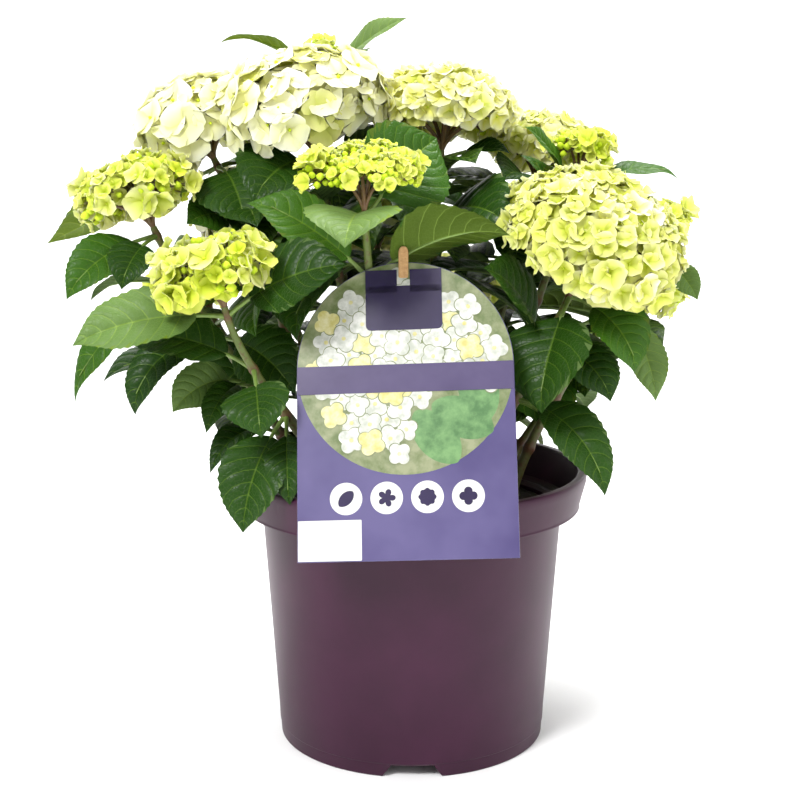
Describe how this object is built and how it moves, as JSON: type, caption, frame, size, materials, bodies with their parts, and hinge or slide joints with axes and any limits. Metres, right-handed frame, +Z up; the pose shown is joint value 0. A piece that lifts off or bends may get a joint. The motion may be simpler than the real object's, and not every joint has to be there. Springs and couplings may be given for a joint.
{
  "type": "potted mophead hydrangea shrub",
  "caption": "Potted mophead hydrangea: leafy canes with domed white, cream and lime flower heads, in a dark plastic nursery pot with a picture card on a peg.",
  "frame": {"origin": "centre of the pot's flat underside, on the ground", "axes": "+Z up along the pot's axis; -Y towards the front, where the label hangs; +X to the right seen from the front"},
  "size_m": [0.444, 0.3544, 0.4726],
  "materials": {
    "pot": "satin moulded polypropylene, dark aubergine",
    "soil": "moist peat-based potting substrate, crumbly and matt",
    "label": "glossy printed card, purple with a pale flower panel",
    "peg": "bare split bamboo",
    "cane": "green-brown soft bark with reddish nodes",
    "foliage": "glossy puckered leaves, dark to mid green with yellow-green veins",
    "floret_white": "soft thin sepals, white with greenish centres",
    "floret_cream": "soft thin sepals, cream to pale yellow-green",
    "floret_lime": "half-open sepals, yellow-green",
    "bud": "tight waxy buds, lime green"
  },
  "bodies": {
    "root": {"pot": "pot", "soil": "soil", "label_peg": "peg", "label": "label", "cane_upper_white": "cane", "cane_left_white": "cane", "cane_upper_cream": "cane", "cane_right_cream": "cane", "cane_back_cream": "cane", "cane_left_lime": "cane", "cane_left_front": "cane", "cane_front_bud": "cane", "cane_right_bud": "cane", "cane_far_right_bud": "cane", "cane_top_bud": "cane", "cane_back_left": "cane", "cane_back_mid": "cane", "cane_back_right": "cane", "cane_right_back": "cane", "cane_left_back": "cane", "cane_low_back": "cane", "shoot_upper_white": "foliage", "shoot_left_white": "foliage", "shoot_upper_cream": "foliage", "shoot_right_cream": "foliage", "shoot_back_cream": "foliage", "shoot_left_lime": "foliage", "shoot_left_front": "foliage", "shoot_front_bud": "foliage", "shoot_right_bud": "foliage", "shoot_far_right_bud": "foliage", "shoot_top_bud": "foliage", "shoot_back_left": "foliage", "shoot_back_mid": "foliage", "shoot_back_right": "foliage", "shoot_right_back": "foliage", "shoot_left_back": "foliage", "shoot_low_back": "foliage"}
  },
  "joints": []
}
